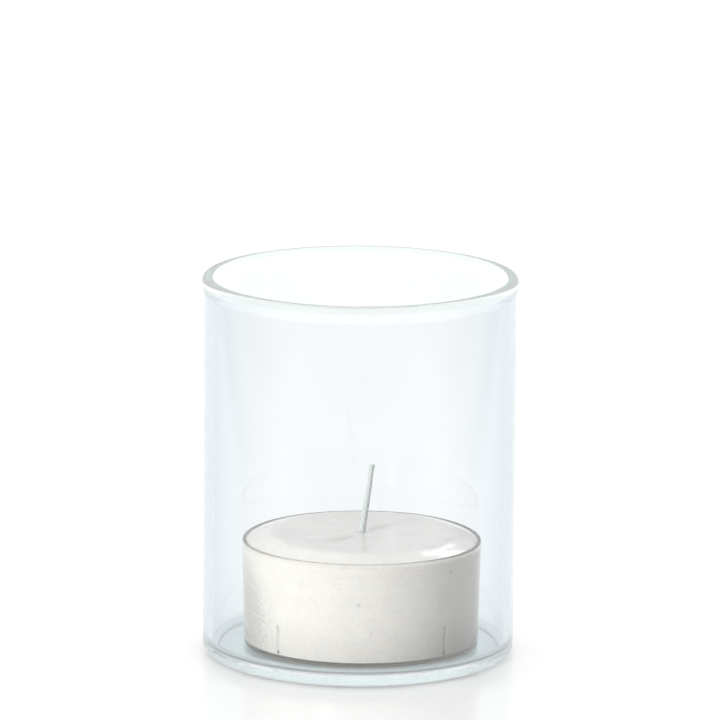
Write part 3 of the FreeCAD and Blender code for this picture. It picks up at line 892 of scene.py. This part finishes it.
class TEALIGHT_OT_sustainer(bpy.types.Operator):
    """Press the sustainer: a thin disc with a stiffening bead and a neck crimped on the wick"""

    bl_idname = "tealight.sustainer"
    bl_label = "Sustainer"

    def execute(self, context):
        s = context.scene.tealight_settings
        bore = s.wick / 2 + 0.05 * MM
        neck, edge = bore + s.sheet, (DISC_HIGH.x - DISC_LOW.x) / 2
        tall = DISC_HIGH.z - DISC_LOW.z
        fine, coarse = 0.35 * MM, 0.8 * MM
        bm = turned(
            rounded_outline(
                [
                    (bore, s.sheet / 2, 0, fine),
                    (bore + 0.2 * MM, 0, 0.1 * MM, coarse),
                    (edge, 0, 0.1 * MM, fine),
                    (edge, s.sheet, 0.1 * MM, coarse),
                    (neck, s.sheet, 0.45 * MM, fine),
                    (neck, tall, 0.1 * MM, fine),
                    (bore, tall, 0.08 * MM, fine),
                    (bore, s.sheet, 0, fine),
                ]
            ),
            96,
            closed=True,
        )
        for vert in bm.verts:
            radius, angle = polar(vert.co)
            bead = math.exp(-(((radius - 0.72 * edge) / (0.5 * MM)) ** 2))
            if radius > 3 * MM:
                vert.co.z += 0.16 * MM * bead
            middle = abs(vert.co.z - tall / 2 - s.sheet / 2) / (0.9 * MM)
            if radius > bore + s.sheet / 2 and radius < neck + 0.05 * MM and middle < 1:
                pinch = max(0.0, math.cos(4 * (angle - math.pi / 4))) ** 2 * (1 - middle**2)
                vert.co.xy *= 1 - 0.11 * pinch
        finished(
            bm, "sustainer", pressed_tinplate(), "tealight", "tinplate", "wick_sustainer",
            shift=(TEALIGHT_X, 0, DISC_LOW.z),
        )
        return {"FINISHED"}


# ---------------------------------------------------------------- the studio


def studio_floor(front, back):
    """A faintly glossy table that glows a little: a painted white pool of light under and behind the glass,
    paler round it.
    """
    material, n, shader, place = new_material("studio_floor")
    spot = n.add("ShaderNodeSeparateXYZ")
    n.join(place, spot.inputs[0])
    behind = n.between(spot.outputs["Y"], -0.26, -0.12)
    spread = n.maths("MULTIPLY", n.maths("MAXIMUM", spot.outputs["Y"], 0.0), 0.7)
    aside = n.maths("SUBTRACT", n.maths("ABSOLUTE", spot.outputs["X"]), spread)
    # The painted pool of light: the table's colour and glow are brighter here than in front.
    pool = n.maths("MULTIPLY", behind, n.between(aside, 0.18, 0.3, 1.0, 0.0))
    level = n.between(pool, 0.0, 1.0, front / back)
    n.feed(
        shader, Base_Color=n.blend(level, (0, 0, 0, 1), (0.85, 0.85, 0.85, 1)),
        Emission_Color=n.blend(level, (0, 0, 0, 1), (1, 1, 1, 1)), Emission_Strength=0.25 * back,
        Roughness=0.16,
    )
    return material


def light_room(front, back):
    """A white room, less bright in front of the glass than behind and above it."""
    world = bpy.data.worlds.new("studio")
    world.use_nodes = True
    n = Nodes(world.node_tree)
    background = next(x for x in world.node_tree.nodes if x.type == "BACKGROUND")
    way = n.add("ShaderNodeSeparateXYZ")
    n.join(n.add("ShaderNodeTexCoord").outputs["Generated"], way.inputs[0])
    behind = n.between(way.outputs["Y"], -0.1, 0.7)
    raised = n.between(way.outputs["Z"], 0.08, 0.4, 0.0, 0.5)
    above = n.between(way.outputs["Z"], 0.5, 0.85, 0.0, 0.92)
    share = n.maths("MAXIMUM", behind, n.maths("MAXIMUM", raised, above))
    level = n.between(share, 0.0, 1.0, front, back)
    n.feed(background, Strength=level)
    n.feed(background, Color=(1, 1, 1, 1))
    bpy.context.scene.world = world


def softbox(name, azimuth, elevation, size, power, lit, **seen):
    """A square lamp 1.3 m from the tealight, facing it. Azimuth 0 is the front and 90 the right."""
    lamp = bpy.data.lights.new(name, "AREA")
    lamp.shape = "RECTANGLE"
    lamp.size, lamp.size_y = size
    lamp.energy = power
    box = bpy.data.objects.new(name, lamp)
    a, e = math.radians(azimuth), math.radians(elevation)
    out = Vector((math.sin(a) * math.cos(e), -math.cos(a) * math.cos(e), math.sin(e)))
    box.location = Vector((0, 0, 0.03)) + out * 1.3
    box.rotation_euler = out.to_track_quat("Z", "Y").to_euler()
    box.visible_camera = False
    for kind, visible in seen.items():
        setattr(box, f"visible_{kind}", visible)
    bpy.context.scene.collection.objects.link(box)
    box.light_linking.receiver_collection = lit


class TEALIGHT_OT_studio(bpy.types.Operator):
    """Set up the camera, the white table, the pale room and three softboxes"""

    bl_idname = "tealight.studio"
    bl_label = "Studio"

    def execute(self, context):
        scene, s = context.scene, context.scene.studio_settings
        camera = bpy.data.objects.new("camera", bpy.data.cameras.new("camera"))
        camera.data.lens, camera.data.sensor_width = s.lens, 36
        camera.data.clip_end = 50
        camera.matrix_world = (
            Matrix.Translation((0, -s.distance, s.height))
            @ Matrix.Rotation(math.pi / 2 - s.tilt, 4, "X")
            @ Matrix.Rotation(s.roll, 4, "Z")
        )
        scene.collection.objects.link(camera)
        scene.camera = camera

        bm = bmesh.new()
        bmesh.ops.create_circle(bm, cap_ends=True, segments=96, radius=6.0)
        mesh = bpy.data.meshes.new("studio_floor")
        bm.to_mesh(mesh)
        bm.free()
        mesh.materials.append(studio_floor(s.front, s.back))
        floor = bpy.data.objects.new("studio_floor", mesh)
        scene.collection.objects.link(floor)
        floor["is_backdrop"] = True
        light_room(s.front, s.back)

        clear = bpy.data.collections.new("clear_pieces")
        held = bpy.data.collections.new("pieces_in_the_glass")
        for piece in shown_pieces():
            (clear if piece.name in ("glass", "clear_cup") else held).objects.link(piece)
        softbox("key_left", -42, 14, (0.45, 0.7), 19.2, held, glossy=False)
        softbox("top_right", 158, 35, (0.07, 0.55), 2.7, held, diffuse=False)
        softbox("glint", -26, 12, (0.2, 0.3), 0.5, clear, diffuse=False)

        scene.view_settings.view_transform = "Standard"
        cycles = scene.cycles
        cycles.max_bounces = 80
        cycles.transmission_bounces = 24
        cycles.glossy_bounces = 80
        cycles.transparent_max_bounces = 48
        return {"FINISHED"}


# ---------------------------------------------------------------- panel, registration and running


class TEALIGHT_PT_panel(bpy.types.Panel):
    """Lists the pieces and the studio in the 3D view's sidebar"""

    bl_label = "Tealight holder"
    bl_idname = "TEALIGHT_PT_panel"
    bl_space_type = "VIEW_3D"
    bl_region_type = "UI"
    bl_category = "Tealight"

    def draw(self, context):
        for operator in OPERATORS:
            self.layout.operator(operator.bl_idname)


OPERATORS = (
    TEALIGHT_OT_glass,
    TEALIGHT_OT_cup,
    TEALIGHT_OT_wax,
    TEALIGHT_OT_wick,
    TEALIGHT_OT_sustainer,
    TEALIGHT_OT_studio,
)
SETTINGS = {
    "holder_settings": HolderSettings,
    "tealight_settings": TealightSettings,
    "studio_settings": StudioSettings,
}


def register():
    """Registers the classes and hangs the settings on the scene."""
    for cls in (*SETTINGS.values(), *OPERATORS, TEALIGHT_PT_panel):
        bpy.utils.register_class(cls)
    for name, cls in SETTINGS.items():
        setattr(bpy.types.Scene, name, PointerProperty(type=cls))


def unregister():
    """Takes away what register added."""
    for name in SETTINGS:
        delattr(bpy.types.Scene, name)
    for cls in (TEALIGHT_PT_panel, *reversed(OPERATORS), *SETTINGS.values()):
        bpy.utils.unregister_class(cls)


def main():
    """Builds every piece and the studio."""
    register()
    for operator in (
        bpy.ops.tealight.glass,
        bpy.ops.tealight.cup,
        bpy.ops.tealight.wax,
        bpy.ops.tealight.wick,
        bpy.ops.tealight.sustainer,
        bpy.ops.tealight.studio,
    ):
        operator()


if __name__ == "__main__":
    main()
